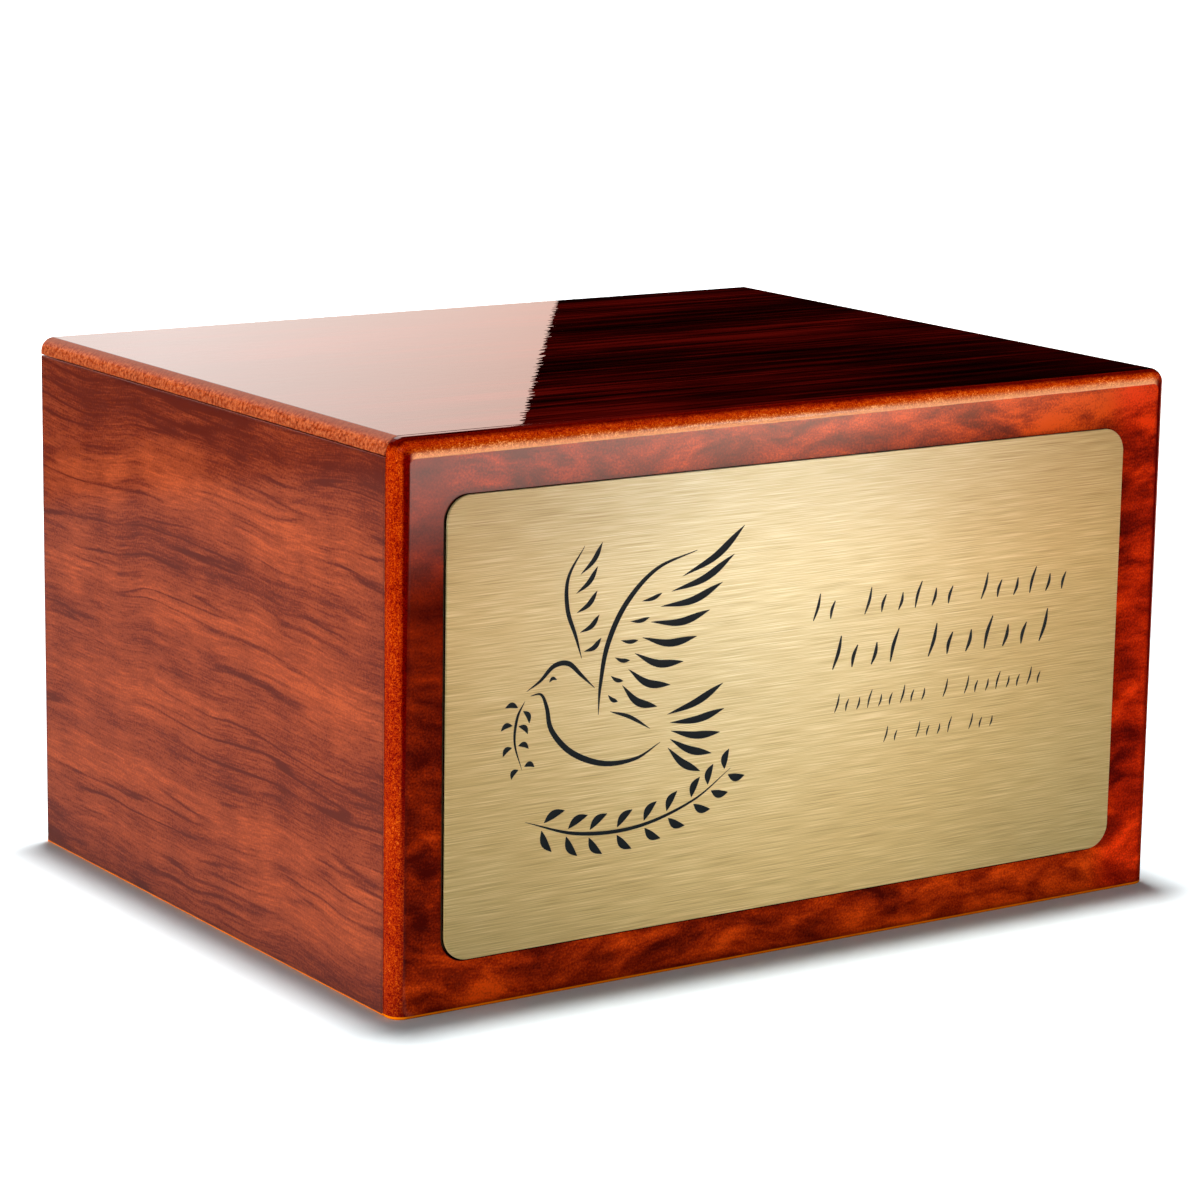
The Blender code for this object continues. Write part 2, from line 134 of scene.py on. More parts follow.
# Camera, as fitted to the photograph's straight edges
CAMERA_AZIMUTH = -33.874
CAMERA_ELEVATION = 11.946
CAMERA_ROLL = 0.921
CAMERA_DISTANCE = 0.89351
CAMERA_TARGET = Vector((-0.05736, FRONT_Y, 0.09101))
CAMERA_LENS = 118.44

# The back card: two points of the top where its edge shows, its distance from the mirrored camera, its
# glow, and its colours towards that edge
CARD_EDGE_FAR = (0.0413, 0.0833, HEIGHT)
CARD_EDGE_NEAR = (-0.0763, -0.0834, HEIGHT)
CARD_DISTANCE = 3.2
CARD_GLOW = 2.0
CARD_FADE = 0.3
CARD_STOPS = (
    (0.0, (0.91, 0.76, 0.71)),
    (1.0, (0.78, 0.53, 0.45)),
)

# The front card: its colours from left to right as the lacquer of the front shows them, and its glow
FRONT_CARD_STOPS = (
    (0.52, (0.00, 0.00, 0.00)),
    (0.58, (0.42, 0.25, 0.22)),
    (0.66, (0.57, 0.35, 0.29)),
    (0.76, (1.00, 0.58, 0.44)),
    (0.84, (0.82, 0.36, 0.21)),
    (0.90, (0.46, 0.13, 0.05)),
    (0.95, (0.00, 0.00, 0.00)),
)
FRONT_CARD_GLOW = 10.6

# The far cards: name, azimuth and width
FAR_CARDS = (
    ("left_front_card", -50, 2.4),
    ("right_front_card", 68, 1.2),
)
FAR_CARD_ELEVATION = 22
FAR_CARD_DISTANCE = 3.0
FAR_CARD_HALF_HEIGHT = 0.8
FAR_CARD_COLOUR = (1.0, 0.86, 0.80)
REAR_CARD_COLOUR = (1.0, 0.62, 0.5)
REAR_CARD_GLOW = 3.2
CARD_LIFT = 0.002

# Softboxes: name, azimuth, elevation and distance, width and height, watts, and whether gloss shows them
SOFTBOXES = (
    ("overhead", (160, 86.1, 1.8), (0.25, 0.25), 57.0, False),
    ("left", (-84, 3, 1.5), (0.9, 0.28), 20.0, False),
    ("front_right", (32.7, 4, 1.1), (0.12, 0.21), 1.3, True),
)
LOW_GLOW_PLACE = (-0.285, 0.10, 0.0004)
LOW_GLOW_SIZE = (0.36, 0.84)
LOW_GLOW_POWER = 0.18
LOW_GLOW_COLOUR = (1.0, 1.0, 0.95)
AMBIENT = 0.09

# Directions
UP = (0.0, 0.0, 1.0)
DOWN = (0.0, 0.0, -1.0)
FORWARD = (0.0, -1.0, 0.0)
BACKWARD = (0.0, 1.0, 0.0)


# Node helpers
class Nodes:
    """A material's nodes, added in short calls. A value is a number, a colour or another node's output."""

    def __init__(self, name):
        self.material = bpy.data.materials.new(name)
        self.material.use_nodes = True
        self.tree = self.material.node_tree
        self.shader = self.tree.nodes["Principled BSDF"]

    def put(self, socket, value):
        if isinstance(value, bpy.types.NodeSocket):
            self.tree.links.new(value, socket)
        else:
            socket.default_value = value

    def add(self, kind, values=(), **settings):
        node = self.tree.nodes.new(kind)
        for key, value in settings.items():
            setattr(node, key, value)
        for key, value in dict(values).items():
            self.put(node.inputs[key], value)
        return node

    def place(self):
        """The point's x, y and z in the object's own frame."""
        split = self.add("ShaderNodeSeparateXYZ", {0: self.add("ShaderNodeTexCoord").outputs["Object"]})
        return split.outputs[0], split.outputs[1], split.outputs[2]

    def vector(self, x=0.0, y=0.0, z=0.0):
        return self.add("ShaderNodeCombineXYZ", {0: x, 1: y, 2: z}).outputs[0]

    def math(self, operation, first, second=0.0, third=0.0, clamp=False):
        values = {0: first, 1: second, 2: third}
        return self.add("ShaderNodeMath", values, operation=operation, use_clamp=clamp).outputs[0]

    def sum(self, *values):
        total = values[0]
        for value in values[1:]:
            total = self.math("ADD", total, value)
        return total

    def times(self, *values):
        product = values[0]
        for value in values[1:]:
            product = self.math("MULTIPLY", product, value)
        return product

    def ramp(self, value, start, end, low=0.0, high=1.0):
        """Low up to the start, high from the end on, and smooth between them."""
        values = {"Value": value, "From Min": start, "From Max": end, "To Min": low, "To Max": high}
        return self.add("ShaderNodeMapRange", values, interpolation_type="SMOOTHSTEP").outputs[0]

    def line(self, value, start, end, low, high):
        """Straight from low to high between the start and the end."""
        values = {"Value": value, "From Min": start, "From Max": end, "To Min": low, "To Max": high}
        return self.add("ShaderNodeMapRange", values, clamp=True).outputs[0]

    def noise(self, vector, detail=2.0, roughness=0.5, distortion=0.0):
        values = {"Vector": vector, "Scale": 1.0, "Detail": detail, "Roughness": roughness}
        values["Distortion"] = distortion
        return self.add("ShaderNodeTexNoise", values).outputs["Fac"]

    def colours(self, value, *stops):
        """The colour between (place, colour) stops."""
        ramp = self.add("ShaderNodeValToRGB", {0: value})
        elements = ramp.color_ramp.elements
        while len(elements) < len(stops):
            elements.new(0.5)
        for element, (place, colour) in zip(elements, stops):
            element.position = place
            element.color = (*colour, 1.0)
        return ramp.outputs[0]

    def mix(self, share, first, second, blend="MIX"):
        node = self.add("ShaderNodeMix", data_type="RGBA", blend_type=blend)
        for socket, value in zip((node.inputs[0], node.inputs[6], node.inputs[7]), (share, first, second)):
            self.put(socket, (*value, 1.0) if isinstance(value, tuple) else value)
        return node.outputs[2]

    def bump(self, height, distance, strength=1.0, normal=None):
        values = {"Height": height, "Distance": distance, "Strength": strength}
        if normal is not None:
            values["Normal"] = normal
        return self.add("ShaderNodeBump", values).outputs[0]

    def set(self, **values):
        for key, value in values.items():
            socket = self.shader.inputs[key.replace("_", " ")]
            self.put(socket, (*value, 1.0) if isinstance(value, tuple) else value)


# Grain and colours of the film and of the bare board
def bend_grain(nodes, along, across, seed, wave):
    """The way across the grain, swayed so that what follows it runs in long shallow waves."""
    start = nodes.vector(nodes.times(along, 11.0), nodes.times(across, 8.0), seed)
    sway = nodes.math("SUBTRACT", nodes.noise(start, 1.0), 0.5)
    start = nodes.vector(nodes.times(along, 38.0), nodes.times(across, 16.0), seed + 7.0)
    ripple = nodes.math("SUBTRACT", nodes.noise(start, 1.0), 0.5)
    return nodes.sum(across, nodes.times(sway, 16.0 * MM * wave), nodes.times(ripple, 3.0 * MM * wave))


def layer(nodes, along, across, seed, along_scale, across_scale, detail=2.0, roughness=0.5, distortion=0.0):
    """Noise about 0, stretched along the grain."""
    point = nodes.vector(nodes.times(along, along_scale), nodes.times(across, across_scale), seed)
    return nodes.math("SUBTRACT", nodes.noise(point, detail, roughness, distortion), 0.5)


def speckle(nodes, x, y, z, scale, detail=2.0, roughness=0.5):
    """Noise of one scale in every direction."""
    point = nodes.vector(nodes.times(x, scale), nodes.times(y, scale), nodes.times(z, scale))
    return nodes.noise(point, detail, roughness)


def streaked_film(nodes, along, across, seed):
    """(tone, height) of straight cherry grain, with fine fibres, dark growth lines and broad bands."""
    bent = bend_grain(nodes, along, across, seed, 1.0)
    bands = layer(nodes, along, bent, seed + 1.0, 9.0, 62.0, 2.0, 0.55)
    streaks = layer(nodes, along, bent, seed + 2.0, 46.0, 620.0, 3.0, 0.6)
    fibres = layer(nodes, along, bent, seed + 3.0, 150.0, 2300.0, 2.0, 0.6)
    ridge = nodes.math("ABSOLUTE", layer(nodes, along, bent, seed + 4.0, 10.0, 190.0, 1.0))
    presence = nodes.ramp(layer(nodes, along, bent, seed + 5.0, 19.0, 75.0, 1.0), -0.08, 0.10)
    lines = nodes.times(nodes.ramp(ridge, 0.0, 0.055, 1.0, 0.0), presence)
    figure = layer(nodes, along, across, seed + 6.0, 95.0, 20.0, 1.0)
    specks = layer(nodes, along, across, seed + 8.0, 1500.0, 1500.0, 2.0, 0.6)
    tone = nodes.sum(
        0.5,
        nodes.times(bands, 1.2),
        nodes.times(streaks, 0.8),
        nodes.times(fibres, 0.8),
        nodes.times(figure, 0.3),
        nodes.times(specks, 0.8),
        nodes.times(lines, -0.42),
    )
    return tone, streaks


def mottled_film(nodes, along, across, seed):
    """(tone, height) of cherry figure near a burl, in soft patches with a few smoky lines."""
    bent = bend_grain(nodes, along, across, seed, 1.6)
    patches = layer(nodes, along, bent, seed + 1.0, 75.0, 150.0, 3.0, 0.55, 0.5)
    broad = layer(nodes, along, bent, seed + 2.0, 18.0, 40.0, 1.0)
    streaks = layer(nodes, along, bent, seed + 3.0, 90.0, 700.0, 3.0, 0.6)
    ridge = nodes.math("ABSOLUTE", layer(nodes, along, bent, seed + 4.0, 34.0, 95.0, 2.0))
    presence = nodes.ramp(layer(nodes, along, bent, seed + 5.0, 40.0, 50.0, 1.0), 0.0, 0.14)
    smoke = nodes.times(nodes.ramp(ridge, 0.0, 0.08, 1.0, 0.0), presence)
    specks = layer(nodes, along, across, seed + 8.0, 1900.0, 1900.0, 2.0, 0.6)
    tone = nodes.sum(
        0.5,
        nodes.times(patches, 1.7),
        nodes.times(broad, 0.5),
        nodes.times(streaks, 0.4),
        nodes.times(specks, 1.0),
        nodes.times(smoke, -0.3),
    )
    return tone, specks


CHERRY = (
    (0.08, (0.085, 0.0050, 0.0008)),
    (0.32, (0.150, 0.0140, 0.0022)),
    (0.50, (0.210, 0.0270, 0.0050)),
    (0.68, (0.275, 0.0390, 0.0070)),
    (0.92, (0.400, 0.0600, 0.0100)),
)
FRONT_CHERRY = (
    (0.10, (0.055, 0.0024, 0.0010)),
    (0.34, (0.120, 0.0062, 0.0012)),
    (0.50, (0.190, 0.0105, 0.0012)),
    (0.68, (0.310, 0.0190, 0.0012)),
    (1.00, (0.580, 0.0460, 0.0020)),
)
# The top's cherry film, painted near black as shade
SHADED_TOP_CHERRY = (
    (0.20, (0.0015, 0.0001, 0.0001)),
    (0.45, (0.0080, 0.0002, 0.0002)),
    (0.62, (0.0260, 0.0004, 0.0003)),
    (0.85, (0.0700, 0.0020, 0.0010)),
)
# Painted highlight on the bare bottom rim
RIM_HIGHLIGHT_ORANGE = (1.0, 0.23, 0.0)
# Painted highlight on the front's top edge
HIGHLIGHT_PEACH = (0.95, 0.40, 0.19)
# Painted shade along the edge of the film
EDGE_SHADE_COLOUR = (0.05, 0.003, 0.003)
# Painted shadow round the plate
PLATE_SHADOW_COLOUR = (0.004, 0.001, 0.001)
# Painted reflection on the top's bare edge, near its top
PAINTED_REFLECTION_BROWN = (0.15, 0.045, 0.028)
DEEP_SHADE = (0.20, 0.05, 0.05)
RED_SHADE = (0.34, 0.03, 0.1)

# How blurred the lacquer's gloss is
SIDE_HAZE = 0.10
FRONT_HAZE = 0.045
TOP_HAZE = 0.008

# Where the top's film ends, measured in from the sides
TOP_FILM_INSET = 3.1 * MM


def bare_edge(nodes, seed, lift=0.0):
    """(colour, height) of bare fibreboard with orange staining under lacquer, and paler where it is lifted,
    for a painted highlight.
    """
    x, y, z = nodes.place()
    fine = speckle(nodes, x, y, z, 3000.0, 2.0, 0.7)
    pebbles = speckle(nodes, x, y, z, 1100.0)
    point = nodes.vector(nodes.times(x, 90.0), nodes.times(y, 90.0), nodes.sum(nodes.times(z, 90.0), seed))
    patches = nodes.noise(point, 2.0)
    tone = nodes.sum(
        0.39,
        lift,
        nodes.times(nodes.math("SUBTRACT", fine, 0.5), 1.35),
        nodes.times(nodes.math("SUBTRACT", pebbles, 0.5), 0.5),
        nodes.times(nodes.math("SUBTRACT", patches, 0.5), 0.3),
    )
    colour = nodes.colours(
        tone,
        (0.14, (0.10, 0.001, 0.0004)),
        (0.34, (0.25, 0.009, 0.0005)),
        (0.50, (0.36, 0.027, 0.0007)),
        (0.70, (0.54, 0.075, 0.0015)),
        (0.98, (1.00, 0.420, 0.1400)),
    )
    return colour, pebbles


def inside_rounded(nodes, u, v, low_u, high_u, low_v, high_v, radius, blur):
    """(mask, distance) of a rectangle with round corners: 1 inside, and how far outside a point is."""
    half_u = nodes.times(nodes.math("SUBTRACT", high_u, low_u), 0.5)
    half_v = nodes.times(nodes.math("SUBTRACT", high_v, low_v), 0.5)
    far_u = nodes.math("SUBTRACT", u, nodes.times(nodes.sum(high_u, low_u), 0.5))
    far_v = nodes.math("SUBTRACT", v, nodes.times(nodes.sum(high_v, low_v), 0.5))
    past_u = nodes.sum(nodes.math("ABSOLUTE", far_u), nodes.times(half_u, -1.0), radius)
    past_v = nodes.sum(nodes.math("ABSOLUTE", far_v), nodes.times(half_v, -1.0), radius)
    out_u = nodes.math("MAXIMUM", past_u, 0.0)
    out_v = nodes.math("MAXIMUM", past_v, 0.0)
    corner = nodes.math("SQRT", nodes.sum(nodes.times(out_u, out_u), nodes.times(out_v, out_v)))
    inner = nodes.math("MINIMUM", nodes.math("MAXIMUM", past_u, past_v), 0.0)
    distance = nodes.math("SUBTRACT", nodes.sum(corner, inner), radius)
    return nodes.ramp(distance, -blur, blur, 1.0, 0.0), distance


def wobble(nodes, value, seed, amount):
    """A slow wave along a side, for the hand-sanded line where the film ends."""
    point = nodes.vector(nodes.times(value, 90.0), seed, 0.0)
    return nodes.times(nodes.math("SUBTRACT", nodes.noise(point, 2.0), 0.5), amount)


def finish_board(nodes, film, relief, mask, distance, bare, haze, sheen=0.4, edge_shade_share=0.4):
    """Puts the film over the bare board, with a line of painted shade and a small step where it ends."""
    bare_colour, pebbles = bare
    # Painted shade: the film darkens within a millimetre of its edge
    edge_shade = nodes.times(nodes.ramp(distance, -1.2 * MM, -0.1 * MM), edge_shade_share)
    film = nodes.mix(edge_shade, film, EDGE_SHADE_COLOUR)
    step = nodes.bump(mask, 0.06 * MM, 0.3)
    bare_part = nodes.math("SUBTRACT", 1.0, mask)
    normal = nodes.bump(nodes.times(bare_part, pebbles), 0.06 * MM, 0.9, step)
    waves = nodes.sum(nodes.times(relief, 0.03), nodes.times(bare_part, pebbles))
    coat = nodes.bump(waves, 0.03 * MM, 1.0, step)
    nodes.set(
        Base_Color=nodes.mix(mask, bare_colour, film),
        Roughness=nodes.line(mask, 0.0, 1.0, 0.36, 0.9),
        Specular_IOR_Level=sheen,
        Specular_Tint=(1.0, 0.45, 0.25),
        Coat_Weight=nodes.line(mask, 0.0, 1.0, 0.2, 1.0),
        Coat_Roughness=haze,
        Coat_IOR=1.5,
        Normal=normal,
        Coat_Normal=coat,
    )
    return nodes.material


def shade(nodes, colour, share, tint):
    """Multiplies a colour by a tint where the share is 1."""
    return nodes.mix(share, colour, nodes.mix(1.0, colour, tint, "MULTIPLY"))


def bare_rim_painted_highlight(nodes, colour, z):
    """The bare rim along the bottom, where the film and the staining were sanded through, painted a paler
    orange as a highlight.
    """
    rim = nodes.times(nodes.ramp(z, 0.1 * MM, 0.2 * MM), nodes.ramp(z, RIM, RIM + 0.1 * MM, 1.0, 0.0))
    return nodes.mix(rim, colour, RIM_HIGHLIGHT_ORANGE)


# Materials of the boards
def side_material(name, side, seed):
    """A side board's film, darker towards its top, its front and its bottom."""
    nodes = Nodes(name)
    x, y, z = nodes.place()
    tone, relief = streaked_film(nodes, y, z, seed)
    tone = nodes.sum(
        tone,
        nodes.ramp(z, SEAM_Z - 26 * MM, SEAM_Z, 0.0, -0.16),
        nodes.ramp(y, SEAM_Y, SEAM_Y + 14 * MM, -0.07, 0.0),
        nodes.ramp(z, 0.0, 20 * MM, -0.05, 0.0),
    )
    film = nodes.colours(tone, *CHERRY)
    mask, distance = inside_rounded(
        nodes, y, z, SEAM_Y + 0.1 * MM, BACK_Y - 0.5 * MM, SIDE_RIM, SEAM_Z - 0.1 * MM, 0.5 * MM, 0.05 * MM
    )
    outer = nodes.ramp(nodes.times(x, side), HALF_WIDTH - 0.5 * MM, HALF_WIDTH - 0.3 * MM)
    mask = nodes.times(mask, outer)
    bare, pebbles = bare_edge(nodes, seed)
    bare = bare_rim_painted_highlight(nodes, bare, z)
    return finish_board(nodes, film, relief, mask, distance, (bare, pebbles), SIDE_HAZE)


def top_film(nodes, x, y):
    """(colour, height) of the top's cherry film, painted near black as shade: red streaks, and ridges that
    fray a reflection's edge.
    """
    bent = bend_grain(nodes, x, y, 31.0, 0.25)
    streaks = layer(nodes, x, bent, 32.0, 10.0, 420.0, 3.0, 0.6)
    broad = layer(nodes, x, bent, 33.0, 9.0, 30.0, 2.0)
    fibres = layer(nodes, x, bent, 34.0, 60.0, 1500.0, 2.0)
    tone = nodes.sum(0.52, nodes.times(streaks, 1.6), nodes.times(broad, 1.0), nodes.times(fibres, 0.6))
    teeth = layer(nodes, x, y, 36.0, 150.0, 360.0, 1.0, 0.6)
    return nodes.colours(tone, *SHADED_TOP_CHERRY), nodes.times(teeth, 9.5)


def top_material():
    """The top's film, painted near black as shade, between the sanded sides, and their bare edge, with a
    brown painted reflection towards the top.
    """
    nodes = Nodes("top_film")
    x, y, z = nodes.place()
    film, relief = top_film(nodes, x, y)
    edge = nodes.sum(HALF_WIDTH - TOP_FILM_INSET, wobble(nodes, y, 3.0, 0.25 * MM))
    low_x = nodes.times(edge, -1.0)
    mask, distance = inside_rounded(
        nodes, x, y, low_x, edge, FRONT_Y - 0.02, BACK_Y - 0.5 * MM, 0.4 * MM, 0.05 * MM
    )
    upper = nodes.ramp(z, HEIGHT - 1.2 * MM, HEIGHT - 0.9 * MM)
    mask = nodes.times(mask, upper)
    bare, pebbles = bare_edge(nodes, 5.0)
    brown = nodes.colours(pebbles, (0.36, (0.13, 0.035, 0.012)), (0.64, (0.42, 0.16, 0.06)))
    bare = nodes.mix(0.45, bare, brown)
    # Painted reflection: the bare edge turns brown towards the top
    high = nodes.ramp(z, HEIGHT - 1.8 * MM, HEIGHT - 0.4 * MM, 0.0, 0.8)
    bare = nodes.mix(high, bare, PAINTED_REFLECTION_BROWN)
    return finish_board(
        nodes, film, relief, mask, distance, (bare, pebbles), TOP_HAZE, sheen=0.0, edge_shade_share=0.0
    )


def front_film(nodes, x, z):
    """(colour, height) of the front's film: a painted sheen over the plate and towards the right, painted
    light under the plate, redder right of it, and calmer left of it."""
    tone, relief = mottled_film(nodes, x, z, 52.0)
    # Painted sheen: brighter towards the right and over the plate; painted light: brighter near the bottom
    tone = nodes.sum(
        tone,
        nodes.ramp(x, -40 * MM, HALF_WIDTH, -0.08, 0.11),
        nodes.ramp(z, 0.0, 20 * MM, 0.19, 0.0),
        nodes.times(
            nodes.ramp(z, HEIGHT - 22 * MM, HEIGHT - 6 * MM),
            nodes.ramp(x, -90 * MM, 0.0, 0.0, 0.15),
        ),
    )
    left_of_plate = nodes.times(
        nodes.ramp(x, -99 * MM, -94 * MM, 1.0, 0.0),
        nodes.ramp(z, 60 * MM, 90 * MM),
    )
    calm = nodes.times(nodes.math("SUBTRACT", tone, 0.42), -0.45)
    tone = nodes.sum(tone, nodes.times(left_of_plate, calm))
    film = nodes.colours(tone, *FRONT_CHERRY)
    right_of_plate = nodes.ramp(x, 90 * MM, 100 * MM)
    film = shade(nodes, film, right_of_plate, (1.3, 0.72, 1.0))
    # Painted light under the plate
    painted_light_under_plate = nodes.ramp(z, 8 * MM, 20 * MM, 1.0, 0.0)
    film = shade(nodes, film, painted_light_under_plate, (1.35, 1.45, 1.4))
    # Painted sheen over the plate
    painted_sheen_over_plate = nodes.times(
        nodes.ramp(z, HEIGHT - 20 * MM, HEIGHT - 14 * MM),
        nodes.ramp(x, -90 * MM, 0.0),
        nodes.ramp(x, 80 * MM, 100 * MM, 1.0, 0.0),
    )
    return shade(nodes, film, painted_sheen_over_plate, (1.25, 1.45, 1.4)), relief


def front_edge(nodes, y, z, wall, distance):
    """(colour, height) of the front's bare edge: a painted highlight under the top with painted shade above
    it, and painted shade beside the film.
    """
    along_top = nodes.times(
        nodes.ramp(z, HEIGHT - 5.0 * MM, HEIGHT - 4.2 * MM),
        nodes.ramp(wall, 2.5 * MM, 5.0 * MM),
    )
    # Painted highlight: the bare edge is lifted and mixed towards peach just above the film
    lift = nodes.times(nodes.ramp(distance, 0.6 * MM, 3.2 * MM, 0.36, 0.0), along_top)
    bare, pebbles = bare_edge(nodes, 17.0, lift)
    painted_edge_highlight = nodes.times(nodes.ramp(distance, 0.1 * MM, 1.9 * MM, 0.72, 0.0), along_top)
    bare = nodes.mix(painted_edge_highlight, bare, HIGHLIGHT_PEACH)
    # Painted shade on the upper part of the rounded top edge
    upper = nodes.ramp(y, FRONT_Y + 0.5 * MM, FRONT_Y + 1.7 * MM)
    near_top = nodes.ramp(z, HEIGHT - 3.0 * MM, HEIGHT - 1.3 * MM)
    bare = shade(nodes, bare, nodes.times(upper, near_top), DEEP_SHADE)
    # Painted shade on the rounded side edges, beside the film
    beside_film = nodes.times(
        nodes.ramp(wall, 1.5 * MM, 2.1 * MM),
        nodes.ramp(wall, 3.2 * MM, 4.4 * MM, 1.0, 0.0),
        nodes.ramp(z, 20 * MM, 60 * MM, 0.35, 1.0),
        nodes.ramp(z, HEIGHT - 4 * MM, HEIGHT - 2 * MM, 1.0, 0.0),
    )
    bare = shade(nodes, bare, beside_film, RED_SHADE)
    return bare_rim_painted_highlight(nodes, bare, z), pebbles


def plate_painted_shadow(nodes, x, z):
    """1 behind the plate and in the painted shadow round it, which is wider at its left and its bottom."""
    shift = 0.22 * MM
    low = (PLATE_LOW.x - shift, PLATE_LOW.z - shift)
    high = (PLATE_HIGH.x - shift, PLATE_HIGH.z - shift)
    _, distance = inside_rounded(nodes, x, z, low[0], high[0], low[1], high[1], PLATE_RADIUS, 0.05 * MM)
    return nodes.ramp(distance, 0.15 * MM, 0.45 * MM, 1.0, 0.0)


def front_material():
    """The front's film, its bare rounded edge, a strip of the top's film painted near black as shade, and the
    plate's painted shadow.
    """
    nodes = Nodes("front_film")
    x, y, z = nodes.place()
    film, relief = front_film(nodes, x, z)
    wall = nodes.math("MINIMUM", nodes.sum(x, HALF_WIDTH), nodes.math("SUBTRACT", HALF_WIDTH, x))
    inset = nodes.sum(nodes.line(z, 0.0, HEIGHT, 2.3 * MM, 3.1 * MM), wobble(nodes, z, 9.0, 0.3 * MM))
    high_z = nodes.sum(
        nodes.line(x, -HALF_WIDTH, HALF_WIDTH, HEIGHT - 4.6 * MM, HEIGHT - 3.5 * MM),
        wobble(nodes, x, 12.0, 0.35 * MM),
    )
    low_x = nodes.sum(-HALF_WIDTH, inset)
    high_x = nodes.math("SUBTRACT", HALF_WIDTH, inset)
    mask, distance = inside_rounded(nodes, x, z, low_x, high_x, RIM, high_z, 1.8 * MM, 0.06 * MM)
    outer = nodes.ramp(y, FRONT_Y + 2.2 * MM, FRONT_Y + 2.4 * MM, 1.0, 0.0)
    mask = nodes.times(mask, outer)
    bare = front_edge(nodes, y, z, wall, distance)
    # The flat top of the front board takes the top's film, painted near black as shade
    shaded_top_film = top_film(nodes, x, y)[0]
    flat_top = nodes.times(
        nodes.ramp(y, FRONT_Y + 2.30 * MM, FRONT_Y + 2.42 * MM),
        nodes.ramp(z, HEIGHT - 0.6 * MM, HEIGHT - 0.4 * MM),
        nodes.ramp(wall, 1.8 * MM, 1.9 * MM),
    )
    film = nodes.mix(flat_top, film, shaded_top_film)
    mask = nodes.math("MAXIMUM", mask, flat_top)
    distance = nodes.math("SUBTRACT", distance, flat_top)
    # Less painted shade at the film's edge near the top
    edge_shade_share = nodes.ramp(z, HEIGHT - 8.0 * MM, HEIGHT - 6.0 * MM, 0.45, 0.05)
    material = finish_board(
        nodes, film, relief, mask, distance, bare, FRONT_HAZE, sheen=0.0, edge_shade_share=edge_shade_share
    )
    # The plate's painted shadow on the film
    plate_shadow = nodes.times(plate_painted_shadow(nodes, x, z), outer)
    colour = nodes.shader.inputs["Base Color"].links[0].from_socket
    nodes.set(Base_Color=nodes.mix(plate_shadow, colour, PLATE_SHADOW_COLOUR))
    return material


def back_material():
    """The back's film, with bare fibreboard round it."""
    nodes = Nodes("back_film")
    x, y, z = nodes.place()
    tone, relief = streaked_film(nodes, x, z, 77.0)
    film = nodes.colours(tone, *CHERRY)
    mask, distance = inside_rounded(
        nodes, x, z, BACK_LOW.x + 0.1 * MM, BACK_HIGH.x - 0.1 * MM, RIM, BACK_HIGH.z, 0.5 * MM, 0.05 * MM
    )
    outer = nodes.ramp(y, BACK_Y - 0.5 * MM, BACK_Y - 0.3 * MM)
    mask = nodes.times(mask, outer)
    bare, pebbles = bare_edge(nodes, 23.0)
    bare = bare_rim_painted_highlight(nodes, bare, z)
    return finish_board(nodes, film, relief, mask, distance, (bare, pebbles), SIDE_HAZE)


# Materials of the plate, the base, the screws and the floor
def plate_material():
    """Brushed metal the colour of brass, with a painted highlight in its upper middle and painted shade
    towards its top and its right.
    """
    nodes = Nodes("brushed_plate")
    x, _, z = nodes.place()
    fine = nodes.noise(nodes.vector(nodes.times(x, 75.0), 3.0, nodes.times(z, 6000.0)), 1.0, 0.6)
    coarse = nodes.noise(nodes.vector(nodes.times(x, 26.0), 8.0, nodes.times(z, 3200.0)), 1.0, 0.6)
    clouds = nodes.noise(nodes.vector(nodes.times(x, 9.0), 2.0, nodes.times(z, 14.0)), 2.0)
    tone = nodes.sum(
        nodes.times(fine, 0.72),
        nodes.times(coarse, 0.32),
        -0.02,
        nodes.times(nodes.math("SUBTRACT", clouds, 0.5), 0.2),
    )
    colour = nodes.colours(
        tone,
        (0.26, (0.42, 0.28, 0.095)),
        (0.50, (0.66, 0.475, 0.185)),
        (0.76, (0.92, 0.73, 0.36)),
    )
    far_x = nodes.math("MULTIPLY_ADD", x, 10.0, 0.15)
    far_z = nodes.math("MULTIPLY_ADD", z, 11.5, -1.25)
    away = nodes.math("SQRT", nodes.sum(nodes.times(far_x, far_x), nodes.times(far_z, far_z)))
    # Painted highlight in the upper middle
    painted_plate_highlight = nodes.ramp(away, 0.15, 1.15, 1.0, 0.0)
    colour = shade(nodes, colour, painted_plate_highlight, (0.90, 1.08, 1.5))
    # Painted shade towards the top and towards the right
    colour = shade(nodes, colour, nodes.ramp(z, 85 * MM, 123 * MM), (0.74, 0.77, 0.83))
    colour = shade(nodes, colour, nodes.ramp(x, 10 * MM, 95 * MM), (0.91, 0.92, 0.90))
    nodes.set(
        Base_Color=colour,
        Metallic=0.5,
        Roughness=nodes.line(fine, 0.3, 0.7, 0.31, 0.37),
        Anisotropic=0.85,
        Anisotropic_Rotation=0.25,
        Normal=nodes.bump(fine, 0.01 * MM, 0.12),
    )
    return nodes.material


def engraving_material():
    nodes = Nodes("engraving_fill")
    x, _, z = nodes.place()
    grain = nodes.noise(nodes.vector(nodes.times(x, 1500.0), 0.0, nodes.times(z, 1500.0)), 2.0)
    nodes.set(
        Base_Color=nodes.colours(grain, (0.3, (0.003, 0.008, 0.012)), (0.7, (0.006, 0.012, 0.017))),
        Roughness=nodes.line(grain, 0.3, 0.7, 0.4, 0.6),
        Specular_IOR_Level=0.2,
    )
    return nodes.material


